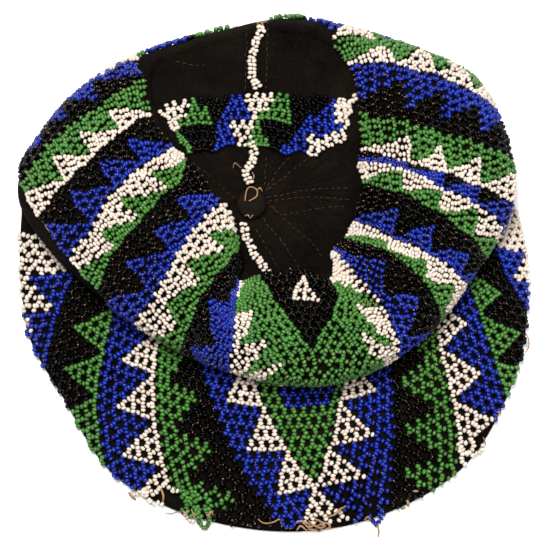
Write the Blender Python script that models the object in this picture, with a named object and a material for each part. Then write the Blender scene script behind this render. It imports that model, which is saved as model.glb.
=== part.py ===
"""Beaded cap: a soft black cotton cap lying folded on itself, covered with bead netting.

Metres, +Z up. +X is the right of the cap, +Y its back. The origin is under the middle of the cap,
on the surface that it rests on.

The cloth is one wall that runs out from the crown, up over a puffed roll to a fold edge, back in
beneath it, and out again as the lower tier to the hem. Its shape is a row of sections about one
turning centre: each section is worked out from the named sizes and one row of the table below.
"""
import math

import bpy
import numpy as np

# Driving dimensions
upper_radius = 0.0900       # turning centre to the fold edge, at share 1 in the table
roll_width = 0.0700         # crown edge to fold edge
roll_height = 0.0200        # rise of the roll over its two edges
crown_height = 0.0140       # resting surface to the crown
lower_reach = 0.0680        # fold edge to the hem of the lower tier at the front
billow_height = 0.0070      # rise of the lower tier over the resting surface
pleat_depth = 0.0120        # fold edge back in to the head opening
pleat_gap = 0.0030          # space in the pleat, between the two tiers' outer faces
fold_radius = 0.0030        # rounding of the fold edge
seat_width = 0.0030         # flat ring beside the opening that the cap rests on
cloth_wall = 0.0015         # thickness of the padded cotton wall
inner_flank = 1.4           # how softly the roll rises from the crown: 1 is round, 2 is a slope
outer_flank = 0.85          # and how full it stands over the fold edge
billow_fullness = 0.8       # how full the lower tier stands: 1 is a half sine, less is fuller
gather_depth = 0.0005       # depth of the crown's gathers
bead_diameter = 0.0022      # one glass bead, and so the thickness of the netting
piece_gap = 0.0003          # clearance between pieces that touch
band_gap = 0.0005           # clearance under the loose band, which lies on a gathered surface
string_gap = 0.0005         # clearance under the strings of beads
button_diameter = 0.0135    # covered button on the crown
button_height = 0.0046
string_diameter = 0.0036    # doubled white beads sewn along the crown's seam
string_step = 0.0072        # spacing of the points along a string

# Counts
section_count = 48          # sections round the cloth
gather_count = 13           # gathers round the crown

# Sections round the cap, from the right side anticlockwise, with shares of the named sizes:
# fold of upper_radius, roll of roll_width and rise of roll_height, crown of crown_height, bare of the
# half turn over the roll (the part of it that no beads cover), reach of lower_reach (negative
# where the hem is tucked under), billow of billow_height
section_columns = ("angle", "fold", "roll", "rise", "crown", "bare", "reach", "billow")
section_rows = (
    (0, 1.130, 1.00, 1.10, 1.00, 0.10, -0.02, 0.00),
    (15, 1.115, 0.96, 1.10, 1.00, 0.10, -0.02, 0.00),
    (30, 1.075, 0.84, 1.00, 1.05, 0.10, -0.02, 0.00),
    (45, 0.960, 0.60, 0.80, 1.15, 0.10, -0.02, 0.00),
    (60, 0.880, 0.30, 0.45, 1.30, 0.12, -0.02, 0.00),
    (75, 0.850, 0.13, 0.12, 1.50, 0.22, -0.02, 0.00),
    (90, 0.860, 0.085, 0.03, 1.60, 0.50, -0.02, 0.00),
    (105, 0.860, 0.075, 0.03, 1.60, 0.55, -0.02, 0.00),
    (120, 0.890, 0.075, 0.03, 1.60, 0.50, -0.02, 0.00),
    (135, 0.980, 0.09, 0.06, 1.50, 0.35, -0.02, 0.00),
    (150, 1.115, 0.46, 0.50, 1.30, 0.12, -0.02, 0.00),
    (165, 1.245, 0.96, 0.80, 1.10, 0.10, -0.02, 0.00),
    (180, 1.365, 1.24, 0.90, 1.00, 0.10, -0.02, 0.00),
    (195, 1.230, 1.15, 0.95, 1.00, 0.10, 0.20, 0.70),
    (210, 1.085, 0.96, 1.00, 1.00, 0.10, 0.52, 1.20),
    (225, 0.995, 0.79, 1.00, 1.00, 0.10, 0.75, 1.10),
    (240, 0.955, 0.64, 1.00, 1.00, 0.10, 0.97, 0.90),
    (255, 0.940, 0.68, 1.00, 1.00, 0.10, 1.02, 0.80),
    (270, 0.960, 0.73, 1.05, 1.00, 0.10, 1.00, 0.80),
    (285, 0.980, 0.74, 1.05, 1.00, 0.10, 0.95, 0.80),
    (300, 0.980, 0.76, 1.00, 1.00, 0.10, 0.89, 0.90),
    (315, 0.980, 0.78, 1.00, 1.00, 0.10, 0.715, 1.00),
    (330, 0.985, 0.80, 1.00, 1.00, 0.10, 0.51, 1.20),
    (345, 1.040, 0.88, 1.05, 1.00, 0.10, 0.245, 0.70),
)

# Creases over the roll: where each starts at the crown's edge and ends at the fold edge, in
# degrees round the cap, its depth as a share of the roll's rise, and its half width in degrees
crease_columns = ("inner_angle", "outer_angle", "depth", "half_width")
crease_rows = (
    (29, -7, 0.20, 10),
    (333, 333, 0.24, 10),
    (236, 254, 0.22, 10),
)

# Stations along one section, as shares of its stretch
crown_stations = (0.30, 0.55, 0.78, 0.93)
bare_stations = (0.0, 0.5)
roll_stations = np.linspace(0.0, 1.0, 10)
fold_stations = (0.5, 1.0)
return_stations = (0.5, 1.0)
pleat_stations = (0.25, 0.5, 0.75, 1.0)
lower_stations = (0.10, 0.24, 0.40, 0.56, 0.72, 0.87, 1.0)

# The loose band of netting over the crown: where its back and front edges cross the crown,
# as an angle and a share of the way from the turning centre to the crown's edge
band_columns = ("back_angle", "back_share", "front_angle", "front_share")
band_rows = (
    (146, 0.93, 157, 0.93),
    (138, 0.74, 158, 0.84),
    (128, 0.67, 153, 0.59),
    (114, 0.65, 136, 0.33),
    (98, 0.61, 119, 0.30),
    (81, 0.60, 98, 0.21),
    (64, 0.75, 55, 0.32),
    (54, 0.92, 41, 0.79),
)
band_width_stations = (0.0, 0.25, 0.5, 0.75, 1.0)

# Strings of white beads on the crown's seam, as places on the crown like the band's
seam_strings = {
    "seam_string_back": (
        (98.6, 1.03), (100.2, 0.98), (102, 0.92), (103.6, 0.86), (105, 0.80), (106.6, 0.74), (108, 0.69)),
    "seam_string_middle": (
        (126, 0.27), (137, 0.24), (152, 0.30), (160, 0.36), (164, 0.41)),
    "seam_string_front": (
        (216, 0.84), (224, 0.80), (232, 0.78), (240, 0.81), (247, 0.87), (251, 0.93)),
}
button_place = (199, 0.62)

# The button's dome, from its foot up: shares of its radius and of its height
dome_columns = ("radius", "height")
dome_rows = (
    (0.72, 0.00),
    (0.96, 0.18),
    (1.00, 0.38),
    (0.90, 0.66),
    (0.66, 0.88),
    (0.34, 0.98),
)
button_sides = 20


def clear_scene():
    """Take away whatever the file holds."""
    for item in list(bpy.data.objects):
        bpy.data.objects.remove(item, do_unlink=True)


def section_values(angle):
    """Every column of the section table at angles in degrees, on a smooth curve that never overshoots."""
    table = np.array(section_rows, dtype=float)
    step = 360.0 / len(table)
    place = np.asarray(angle, dtype=float) / step
    low = np.floor(place).astype(int)
    t = place - low
    low = low % len(table)
    high = (low + 1) % len(table)
    values = {}
    for column, name in enumerate(section_columns[1:], start=1):
        v = table[:, column]
        rise = np.roll(v, -1) - v
        fall = np.roll(rise, 1)
        product = rise * fall
        total = np.where(np.abs(rise + fall) > 1e-9, rise + fall, 1.0)
        slope = np.where(product > 0, 2 * product / total, 0.0)
        values[name] = ((1 + 2 * t) * (1 - t) ** 2 * v[low] + t * (1 - t) ** 2 * slope[low]
                        + t ** 2 * (3 - 2 * t) * v[high] + t ** 2 * (t - 1) * slope[high])
    return values


def crown_edge(angle):
    """Radius of the crown's edge, where the roll starts."""
    values = section_values(angle)
    return upper_radius * values["fold"] - roll_width * values["roll"]


def crown_surface(angle, share):
    """Height of the crown's outer face at a share of the way to its edge."""
    values = section_values(angle)
    gathers = np.cos(np.radians(angle) * gather_count)
    level = 1 + (values["crown"] - 1) * share ** 2
    return crown_height * level + gather_depth * gathers * share ** 2 * (1 - share) * 4


def crown_place(angle, share):
    """A place on the crown in plan, from an angle and a share of the way to its edge."""
    radius = crown_edge(angle) * share
    turn = np.radians(angle)
    return np.stack([radius * np.cos(turn), radius * np.sin(turn)], axis=-1)


def over_crown(flat, lift):
    """Points a lift over the crown's outer face, at places in plan."""
    angle = np.degrees(np.arctan2(flat[..., 1], flat[..., 0]))
    share = np.hypot(flat[..., 0], flat[..., 1]) / crown_edge(angle)
    return np.concatenate([flat, crown_surface(angle, share)[..., None] + lift], axis=-1)


def crease_factor(angle, share):
    """What the creases leave of the roll's rise, at an angle and a share of the way over the roll."""
    left = np.ones_like(share)
    for inner_angle, outer_angle, depth, half_width in crease_rows:
        middle = inner_angle + (outer_angle - inner_angle) * share
        off = (angle - middle + 180) % 360 - 180
        left = left - depth * np.exp(-(off / half_width) ** 2)
    return left


def lower_surface(radius, seat, hem, billow):
    """Height of the lower tier's outer face at a radius between the seat and the hem."""
    share = np.clip((radius - seat) / (hem - seat), 0.0, 1.0)
    return cloth_wall + billow * np.sin(np.pi * share) ** billow_fullness


def section_rings(angle):
    """The cloth's outer face: the radius and height of every ring, and where each stretch starts."""
    values = section_values(angle)
    fold = upper_radius * values["fold"]
    edge = crown_edge(angle)
    hem = fold + lower_reach * values["reach"]
    turn_radius = fold - pleat_depth + pleat_gap / 2 + cloth_wall
    seat = turn_radius + seat_width
    billow = billow_height * values["billow"]
    netting = piece_gap + bead_diameter
    beneath = [lower_surface(fold + out, seat, hem, billow)
               for out in (-2 * fold_radius, -fold_radius, 0.0, netting)]
    fold_height = np.max(beneath, axis=0) + 2 * netting + 2 * piece_gap + fold_radius
    edge_height = crown_surface(angle, 1.0)
    rings = [(edge * share, crown_surface(angle, share)) for share in crown_stations]
    starts = {"bare": len(rings)}
    bare = math.pi * values["bare"]
    turns = [bare * station for station in bare_stations]
    turns += [bare + (math.pi - bare) * station for station in roll_stations]
    for turn in turns:
        share = (1 - np.cos(turn)) / 2
        base = fold_height + (edge_height - fold_height) * np.sqrt(1 - share * share)
        steep = np.where(turn < math.pi / 2, inner_flank, outer_flank)
        bulge = roll_height * values["rise"] * np.clip(np.sin(turn), 0.0, 1.0) ** steep
        rings.append((edge + (fold - edge) * share, base + bulge * crease_factor(angle, share)))
    starts["roll"] = starts["bare"] + len(bare_stations)
    starts["fold"] = len(rings)
    for station in fold_stations:
        turn = station * math.pi / 2
        rings.append((fold - fold_radius * (1 - math.cos(turn)), fold_height - fold_radius * math.sin(turn)))
    starts["return"] = len(rings)
    outer_radius, outer_height = rings[-1]
    pleat_height = np.full_like(fold, cloth_wall + pleat_gap)
    for station in return_stations:
        rings.append((outer_radius + (turn_radius - outer_radius) * station,
                      outer_height + (pleat_height - outer_height) * station))
    starts["pleat"] = len(rings)
    for station in pleat_stations:
        turn = math.pi / 2 + station * math.pi
        rings.append((turn_radius + pleat_gap / 2 * math.cos(turn),
                      pleat_height - pleat_gap / 2 * (1 - math.sin(turn))))
    starts["seat"] = len(rings)
    rings.append((seat, np.full_like(fold, cloth_wall)))
    starts["lower"] = len(rings)
    for station in lower_stations:
        radius = seat + (hem - seat) * station
        rings.append((radius, lower_surface(radius, seat, hem, billow)))
    starts["end"] = len(rings)
    return rings, starts


def cloth_surface():
    """The outer face as a grid of points, with its unit normals, ring starts and middle point."""
    angle = np.arange(section_count) * 360.0 / section_count
    turn = np.radians(angle)
    rings, starts = section_rings(angle)
    points = np.array([np.stack([r * np.cos(turn), r * np.sin(turn), z], axis=-1) for r, z in rings])
    centre = np.broadcast_to([0.0, 0.0, float(crown_surface(0.0, 0.0))], points[0].shape)
    padded = np.concatenate([centre[None], points, points[-1:] * 2 - points[-2:-1]])
    along = padded[2:] - padded[:-2]
    around = np.roll(points, -1, axis=1) - np.roll(points, 1, axis=1)
    normals = np.cross(along, around)
    normals /= np.linalg.norm(normals, axis=-1, keepdims=True)
    # The underside lies flat where the pleat ends, along the seat and at the hem
    for ring in (starts["seat"] - 1, starts["seat"], starts["end"] - 1):
        normals[ring] = (0.0, 0.0, 1.0)
    return points, normals, starts, centre[0]


def ring_faces(low, high, inward=False):
    """Triangles between two rings of vertex numbers, split alike on every skin of the same grid."""
    faces = []
    for i in range(len(low)):
        j = (i + 1) % len(low)
        pair = [(low[i], high[i], high[j]), (low[i], high[j], low[j])]
        faces += [face[::-1] for face in pair] if inward else pair
    return faces


def skin_faces(numbers):
    """The outer and the inner skin of a wall, from its grid of vertex numbers."""
    faces = []
    for ring in range(numbers.shape[1] - 1):
        faces += ring_faces(numbers[0, ring].tolist(), numbers[0, ring + 1].tolist())
        faces += ring_faces(numbers[1, ring].tolist(), numbers[1, ring + 1].tolist(), inward=True)
    return faces


def make_object(name, vertices, faces, material):
    """One closed body from its vertices and faces."""
    mesh = bpy.data.meshes.new(name)
    mesh.from_pydata([tuple(v) for v in vertices], [], faces)
    mesh.materials.append(material)
    mesh.validate()
    mesh.shade_smooth()
    mesh.set_sharp_from_angle(angle=math.radians(50))
    item = bpy.data.objects.new(name, mesh)
    bpy.context.scene.collection.objects.link(item)
    return item


def make_material(name, colour, roughness, metallic=0.0):
    """A Principled material of one colour."""
    material = bpy.data.materials.new(name)
    material.use_nodes = True
    shader = material.node_tree.nodes["Principled BSDF"]
    shader.inputs["Base Color"].default_value = (*colour, 1.0)
    shader.inputs["Roughness"].default_value = roughness
    shader.inputs["Metallic"].default_value = metallic
    return material


def make_cloth():
    """The whole cloth: outer face, inner face one wall thickness behind it, joined at the hem."""
    points, normals, starts, centre = cloth_surface()
    rings = len(points)
    inner = points - normals * cloth_wall
    vertices = list(points.reshape(-1, 3)) + list(inner.reshape(-1, 3))
    vertices += [centre, centre - np.array([0.0, 0.0, cloth_wall])]
    numbers = np.arange(2 * rings * section_count).reshape(2, rings, section_count)
    top, bottom = len(vertices) - 2, len(vertices) - 1
    faces = []
    for i in range(section_count):
        j = (i + 1) % section_count
        faces.append((top, int(numbers[0, 0, i]), int(numbers[0, 0, j])))
        faces.append((bottom, int(numbers[1, 0, j]), int(numbers[1, 0, i])))
    faces += skin_faces(numbers)
    faces += ring_faces(numbers[0, -1].tolist(), numbers[1, -1].tolist())
    cotton = make_material("black_cotton", (0.012, 0.011, 0.010), 0.85)
    return make_object("cap_cloth", vertices, faces, cotton)


def make_net(name, first, last, material):
    """A netted skin on the cloth between two of its rings: two faces, one bead apart."""
    points, normals, starts, centre = cloth_surface()
    base = points[first:last + 1]
    lift = normals[first:last + 1]
    outer = base + lift * (piece_gap + bead_diameter)
    inner = base + lift * piece_gap
    rings = len(base)
    numbers = np.arange(2 * rings * section_count).reshape(2, rings, section_count)
    vertices = list(outer.reshape(-1, 3)) + list(inner.reshape(-1, 3))
    faces = skin_faces(numbers)
    faces += ring_faces(numbers[0, -1].tolist(), numbers[1, -1].tolist())
    faces += ring_faces(numbers[1, 0].tolist(), numbers[0, 0].tolist())
    return make_object(name, vertices, faces, material)


def make_band():
    """The loose band: a strip one bead thick over the crown."""
    columns = dict(zip(band_columns, np.array(band_rows, dtype=float).T))
    back = crown_place(columns["back_angle"], columns["back_share"])
    front = crown_place(columns["front_angle"], columns["front_share"])
    flat = np.array([back + (front - back) * share for share in band_width_stations])
    layers = [over_crown(flat, lift) for lift in (band_gap + bead_diameter, band_gap)]
    across, along = len(band_width_stations), len(band_rows)
    vertices = list(np.array(layers).reshape(-1, 3))
    numbers = np.arange(2 * across * along).reshape(2, across, along)
    faces = []
    for a in range(across - 1):
        for b in range(along - 1):
            for side in (0, 1):
                quad = [numbers[side, a, b], numbers[side, a + 1, b],
                        numbers[side, a + 1, b + 1], numbers[side, a, b + 1]]
                faces.append([int(n) for n in (quad if side == 0 else quad[::-1])])
    edge = ([(0, b) for b in range(along)] + [(a, along - 1) for a in range(1, across)]
            + [(across - 1, b) for b in range(along - 2, -1, -1)]
            + [(a, 0) for a in range(across - 2, 0, -1)])
    for (a, b), (c, d) in zip(edge, edge[1:] + edge[:1]):
        rim = [numbers[0, a, b], numbers[0, c, d], numbers[1, c, d], numbers[1, a, b]]
        faces.append([int(n) for n in rim])
    beads = make_material("band_beads", (0.05, 0.16, 0.06), 0.3)
    return make_object("bead_band", vertices, faces, beads)


def smooth_route(places, count):
    """Points on the smooth curve that passes through the places, each turn eased by its neighbours."""
    ends = np.concatenate([2 * places[:1] - places[1:2], places, 2 * places[-1:] - places[-2:-1]])
    fine = np.linspace(0, len(places) - 1, count)
    low = np.minimum(fine.astype(int), len(places) - 2)
    t = (fine - low)[:, None]
    p0, p1, p2, p3 = (ends[low + k] for k in range(4))
    return (p1 + (p2 - p0) * t / 2 + (p0 - 2.5 * p1 + 2 * p2 - p3 / 2) * t ** 2
            + (1.5 * (p1 - p2) + (p3 - p0) / 2) * t ** 3)


def make_string(name, places, material):
    """A string of beads as a round tube, on a smooth curve through its places on the crown."""
    places = crown_place(*np.array(places, dtype=float).T)
    radius = string_diameter / 2
    length = np.linalg.norm(np.diff(places, axis=0), axis=1).sum()
    count = max(4, int(round(length / string_step)) + 1)
    route = over_crown(smooth_route(places, count), string_gap + radius)
    curve = bpy.data.curves.new(name, "CURVE")
    curve.dimensions = "3D"
    curve.bevel_depth = radius
    curve.bevel_resolution = 2
    curve.use_fill_caps = True
    spline = curve.splines.new("POLY")
    spline.points.add(len(route) - 1)
    for point, place in zip(spline.points, route):
        point.co = (*place, 1.0)
    curve.materials.append(material)
    item = bpy.data.objects.new(name, curve)
    bpy.context.scene.collection.objects.link(item)
    return item


def make_button():
    """The covered button: a low dome on a flat foot, turned about its own axis."""
    angle, share = button_place
    middle = over_crown(crown_place(float(angle), share), 0.0)
    turn = np.arange(button_sides) * 2 * math.pi / button_sides
    foot = middle[2] + gather_depth + piece_gap
    rings = []
    for radius_share, height_share in dome_rows:
        radius = button_diameter / 2 * radius_share
        height = np.full(button_sides, foot + button_height * height_share)
        rings.append(np.stack([middle[0] + radius * np.cos(turn), middle[1] + radius * np.sin(turn), height],
                              axis=-1))
    vertices = list(np.array(rings).reshape(-1, 3))
    vertices += [(middle[0], middle[1], foot), (middle[0], middle[1], foot + button_height)]
    numbers = np.arange(len(dome_rows) * button_sides).reshape(len(dome_rows), button_sides)
    faces = []
    for i in range(button_sides):
        j = (i + 1) % button_sides
        faces.append((len(vertices) - 2, int(numbers[0, j]), int(numbers[0, i])))
        faces.append((len(vertices) - 1, int(numbers[-1, i]), int(numbers[-1, j])))
    for ring in range(len(dome_rows) - 1):
        faces += ring_faces(numbers[ring + 1].tolist(), numbers[ring].tolist())
    cotton = make_material("button_cotton", (0.020, 0.018, 0.016), 0.8)
    return make_object("crown_button", vertices, faces, cotton)


def centre_on_origin(items):
    """Shift every piece alike, so that the origin lies under the middle of the cap."""
    bpy.context.view_layer.update()
    corners = np.array([item.matrix_world @ v.co for item in items if item.type == "MESH"
                        for v in item.data.vertices])
    middle = (corners.min(axis=0) + corners.max(axis=0)) / 2
    for item in items:
        item.location.x -= middle[0]
        item.location.y -= middle[1]


def build():
    """The whole cap."""
    clear_scene()
    starts = section_rings(np.array([0.0]))[1]
    upper = make_material("upper_net_beads", (0.04, 0.20, 0.05), 0.3)
    lower = make_material("lower_net_beads", (0.02, 0.04, 0.45), 0.3)
    white = make_material("white_beads", (0.80, 0.72, 0.64), 0.35)
    items = [
        make_cloth(),
        make_net("net_upper", starts["roll"], starts["return"] - 1, upper),
        make_net("net_lower", starts["lower"], starts["end"] - 1, lower),
        make_band(),
        make_button(),
    ]
    for name, places in seam_strings.items():
        items.append(make_string(name, places, white))
    centre_on_origin(items)


build()
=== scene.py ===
"""Looks of the beaded cap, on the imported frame.

The cap lies crown up, folded on itself, with its back at +Y. Its cloth is drawn again at a finer
step, and every glass bead of its netting is a small mesh of its own shape.
"""
import math

import bpy
import numpy as np
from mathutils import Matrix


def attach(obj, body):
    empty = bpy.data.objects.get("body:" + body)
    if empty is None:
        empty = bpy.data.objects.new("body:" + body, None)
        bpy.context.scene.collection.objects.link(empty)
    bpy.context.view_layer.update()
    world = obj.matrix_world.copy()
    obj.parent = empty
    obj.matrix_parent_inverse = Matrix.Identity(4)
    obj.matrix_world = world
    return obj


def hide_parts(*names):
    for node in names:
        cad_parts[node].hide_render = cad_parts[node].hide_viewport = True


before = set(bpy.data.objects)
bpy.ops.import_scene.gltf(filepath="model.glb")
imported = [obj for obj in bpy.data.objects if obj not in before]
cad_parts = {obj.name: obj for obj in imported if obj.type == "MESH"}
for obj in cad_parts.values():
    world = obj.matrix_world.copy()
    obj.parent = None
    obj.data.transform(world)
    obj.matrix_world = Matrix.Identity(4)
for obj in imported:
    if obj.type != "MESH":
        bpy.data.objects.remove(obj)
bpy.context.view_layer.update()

# Camera and light
# The cap is seen from straight above through a long lens, on a plain pale surface, under a broad
# soft light from the upper left with a weak fill from all round.
photo_pixel = 0.00045                 # metres of the cap that one pixel of the photograph covers
photo_side = 550                      # pixels
photo_middle = (275, 275)
true_height = 0.016                   # over the floor, where a pixel covers just that much
lens = 0.400
film = 0.036
turning_centre = (0.00889, 0.03727)   # middle of the crown, from which every section is drawn
turning_pixel = (290, 190)            # the same place in the photograph
lamps = (                             # name, place, size, power
    ("key", (-0.20, 0.60, 1.35), 0.60, 46.0),
    ("fill", (0.70, -0.40, 1.10), 0.90, 12.0),
)
sky_strength = 0.34


def flat_of_pixels(pixels):
    """Places in plan from the turning centre: pixels less its own pixel, times the scale."""
    return (np.array(pixels, dtype=float) - turning_pixel) * (photo_pixel, -photo_pixel)


eye = bpy.data.cameras.new("camera")
eye.lens = lens * 1000
eye.sensor_width = film * 1000
eye.clip_end = 20.0
camera = bpy.data.objects.new("camera", eye)
camera.location = (*(turning_centre + flat_of_pixels(photo_middle)),
                   true_height + photo_side * photo_pixel * lens / film)
bpy.context.scene.collection.objects.link(camera)
bpy.context.scene.camera = camera

for name, place, size, power in lamps:
    lamp = bpy.data.lights.new(name, "AREA")
    lamp.size = size
    lamp.energy = power
    item = bpy.data.objects.new(name, lamp)
    item.location = place
    item.rotation_euler = (math.atan2(math.hypot(place[0], place[1]), place[2]), 0.0,
                           math.atan2(place[0], -place[1]))
    bpy.context.scene.collection.objects.link(item)

world = bpy.data.worlds.new("studio")
world.use_nodes = True
world.node_tree.nodes["Background"].inputs["Color"].default_value = (1.0, 1.0, 1.0, 1.0)
world.node_tree.nodes["Background"].inputs["Strength"].default_value = sky_strength
bpy.context.scene.world = world
bpy.context.scene.view_settings.view_transform = "Standard"


# Floor
# The cap lies on a plain sheet of pale paper, which is matt, faintly uneven in shade and wide enough
# to fill every view.
class Reading:
    """A shader socket whose sums and products add their own Math nodes."""

    def __init__(self, tree, socket):
        self.tree = tree
        self.socket = socket

    def join(self, kind, first, second):
        """One Math node on two numbers or readings."""
        node = self.tree.nodes.new("ShaderNodeMath")
        node.operation = kind
        fill(self.tree, node.inputs[0], first)
        fill(self.tree, node.inputs[1], second)
        return Reading(self.tree, node.outputs[0])

    def __add__(self, other):
        return self.join("ADD", self, other)

    def __radd__(self, other):
        return self.join("ADD", other, self)

    def __mul__(self, other):
        return self.join("MULTIPLY", self, other)

    def __rmul__(self, other):
        return self.join("MULTIPLY", other, self)


def fill(tree, socket, value):
    """A reading is linked to the socket, and a plain value is set on it."""
    if isinstance(value, Reading):
        tree.links.new(value.socket, socket)
    else:
        socket.default_value = value


class Finish:
    """A Principled material that is built from nodes and readings, on Object coordinates."""

    def __init__(self, name, **fixed):
        self.material = bpy.data.materials.new(name)
        self.material.use_nodes = True
        self.tree = self.material.node_tree
        self.shader = self.tree.nodes["Principled BSDF"]
        for socket, value in fixed.items():
            self.shader.inputs[socket.replace("_", " ")].default_value = value
        self.where = self.node("ShaderNodeTexCoord", outlet=3)

    def node(self, kind, settings=None, outlet=0, **sockets):
        """One node: its settings first, then the values or readings of its sockets."""
        node = self.tree.nodes.new(kind)
        for name, value in (settings or {}).items():
            if name == "stops":
                for stop, (place, colour) in zip(node.color_ramp.elements, value):
                    stop.position, stop.color = place, colour
            else:
                setattr(node, name, value)
        for name, value in sockets.items():
            fill(self.tree, node.inputs[name.replace("_", " ")], value)
        return Reading(self.tree, node.outputs[outlet])

    def noise(self, scale, detail, **more):
        """A noise in the piece's own coordinates."""
        return self.node("ShaderNodeTexNoise", Vector=self.where, Scale=scale, Detail=detail, **more)

    def blend(self, factor, first, second):
        """A colour between two colours."""
        node = self.tree.nodes.new("ShaderNodeMix")
        node.data_type = "RGBA"
        fill(self.tree, node.inputs[0], factor)
        for place, colour in ((6, first), (7, second)):
            fill(self.tree, node.inputs[place], colour if isinstance(colour, Reading) else (*colour, 1.0))
        return Reading(self.tree, node.outputs[2])

    def feed(self, **readings):
        """Links from readings to the shader's own sockets."""
        for name, reading in readings.items():
            fill(self.tree, self.shader.inputs[name.replace("_", " ")], reading)

    def raise_by(self, height, distance):
        """A bump of the given depth that feeds the normal."""
        self.feed(Normal=self.node("ShaderNodeBump", Height=height, Distance=distance, Strength=1.0))


def new_piece(name, points, faces, finishes, kinds=None, smooth=True):
    """A mesh object at the origin from arrays of points and faces, with each face's finish number."""
    mesh = bpy.data.meshes.new(name)
    sides = faces.shape[1]
    mesh.vertices.add(len(points))
    mesh.vertices.foreach_set("co", np.ascontiguousarray(points, dtype=np.float32).ravel())
    mesh.loops.add(faces.size)
    mesh.loops.foreach_set("vertex_index", np.ascontiguousarray(faces, dtype=np.int32).ravel())
    mesh.polygons.add(len(faces))
    mesh.polygons.foreach_set("loop_start", np.arange(0, faces.size, sides, dtype=np.int32))
    mesh.polygons.foreach_set("loop_total", np.full(len(faces), sides, dtype=np.int32))
    for finish in finishes:
        mesh.materials.append(finish.material)
    if kinds is not None:
        mesh.polygons.foreach_set("material_index", np.ascontiguousarray(kinds, dtype=np.int32))
    mesh.update(calc_edges=True)
    mesh.polygons.foreach_set("use_smooth", np.full(len(faces), smooth))
    item = bpy.data.objects.new(name, mesh)
    bpy.context.scene.collection.objects.link(item)
    return item


floor_half = 3.0
paper = Finish("pale_paper", Roughness=0.9)
paper.feed(Base_Color=paper.blend(paper.noise(180.0, 4.0), (0.86, 0.86, 0.86), (0.89, 0.89, 0.885)))
corners = np.array([[-1, -1, 0], [1, -1, 0], [1, 1, 0], [-1, 1, 0]]) * floor_half
floor = new_piece("floor", corners, np.array([[0, 1, 2, 3]]), [paper], smooth=False)

# Cloth
# One black cotton wall, gathered to the button at the crown: it runs out over the padded roll to the
# fold edge, back in beneath it, and out again as the lower tier to the frayed hem.
upper_radius = 0.0900
roll_width = 0.0700
roll_height = 0.0200
crown_height = 0.0140
lower_reach = 0.0680
billow_height = 0.0070
pleat_depth = 0.0120
pleat_gap = 0.0030
fold_radius = 0.0030
seat_width = 0.0030
cloth_wall = 0.0015
inner_flank = 1.4                     # powers of the sine that shape the roll's two flanks
outer_flank = 0.85
billow_fullness = 0.8
gather_depth = 0.0005
gather_count = 13
fine_gather_depth = 0.0004
fine_gather_count = 37
wrinkle_depth = 0.0004
bead_diameter = 0.0022
piece_gap = 0.0003
cloth_columns = 440
crown_rings = 44
lower_rings = 26
roll_turns = 120
spill_width = 0.0026                  # by which the hem and its netting spill outward at the left
spill_angle = 203.0
spill_half_angle = 18.0
spill_steepness = 1.6
crown_fold_rows = (                   # x0, y0, x1, y1 in pixels, height, half width
    (246, 14, 246, 92, 0.0005, 0.0016),
    (267, 14, 266, 92, 0.0005, 0.0016),
    (350, 132, 352, 215, 0.0012, 0.0022),
    (268, 212, 318, 262, 0.0010, 0.0020),
    (272, 206, 345, 232, 0.0009, 0.0020),
    (268, 190, 338, 150, 0.0009, 0.0018),
    (262, 184, 280, 152, 0.0007, 0.0015),
    (234, 196, 200, 166, 0.0008, 0.0016),
    (175, 62, 215, 40, 0.0007, 0.0020),
    (165, 90, 215, 96, 0.0007, 0.0022),
    (290, 50, 330, 78, 0.0008, 0.0024),
)
section_columns = ("angle", "fold", "roll", "rise", "crown", "bare", "reach", "billow")
section_rows = (
    (0, 1.130, 1.00, 1.10, 1.00, 0.10, -0.02, 0.00),
    (15, 1.115, 0.96, 1.10, 1.00, 0.10, -0.02, 0.00),
    (30, 1.075, 0.84, 1.00, 1.05, 0.10, -0.02, 0.00),
    (45, 0.960, 0.60, 0.80, 1.15, 0.10, -0.02, 0.00),
    (60, 0.880, 0.30, 0.45, 1.30, 0.12, -0.02, 0.00),
    (75, 0.850, 0.13, 0.12, 1.50, 0.22, -0.02, 0.00),
    (90, 0.860, 0.085, 0.03, 1.60, 0.50, -0.02, 0.00),
    (105, 0.860, 0.075, 0.03, 1.60, 0.55, -0.02, 0.00),
    (120, 0.890, 0.075, 0.03, 1.60, 0.50, -0.02, 0.00),
    (135, 0.980, 0.09, 0.06, 1.50, 0.35, -0.02, 0.00),
    (150, 1.115, 0.46, 0.50, 1.30, 0.12, -0.02, 0.00),
    (165, 1.245, 0.96, 0.80, 1.10, 0.10, -0.02, 0.00),
    (180, 1.365, 1.24, 0.90, 1.00, 0.10, -0.02, 0.00),
    (195, 1.230, 1.15, 0.95, 1.00, 0.10, 0.20, 0.70),
    (210, 1.085, 0.96, 1.00, 1.00, 0.10, 0.52, 1.20),
    (225, 0.995, 0.79, 1.00, 1.00, 0.10, 0.75, 1.10),
    (240, 0.955, 0.64, 1.00, 1.00, 0.10, 0.97, 0.90),
    (255, 0.940, 0.68, 1.00, 1.00, 0.10, 1.02, 0.80),
    (270, 0.960, 0.73, 1.05, 1.00, 0.10, 1.00, 0.80),
    (285, 0.980, 0.74, 1.05, 1.00, 0.10, 0.95, 0.80),
    (300, 0.980, 0.76, 1.00, 1.00, 0.10, 0.89, 0.90),
    (315, 0.980, 0.78, 1.00, 1.00, 0.10, 0.715, 1.00),
    (330, 0.985, 0.80, 1.00, 1.00, 0.10, 0.51, 1.20),
    (345, 1.040, 0.88, 1.05, 1.00, 0.10, 0.245, 0.70),
)
crease_rows = (                       # inner angle, outer angle, depth, half width
    (29, -7, 0.20, 10),
    (333, 333, 0.24, 10),
    (236, 254, 0.22, 10),
)


def unit(vectors):
    """Vectors divided by their lengths."""
    return vectors / np.maximum(np.linalg.norm(vectors, axis=-1, keepdims=True), 1e-12)


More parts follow.
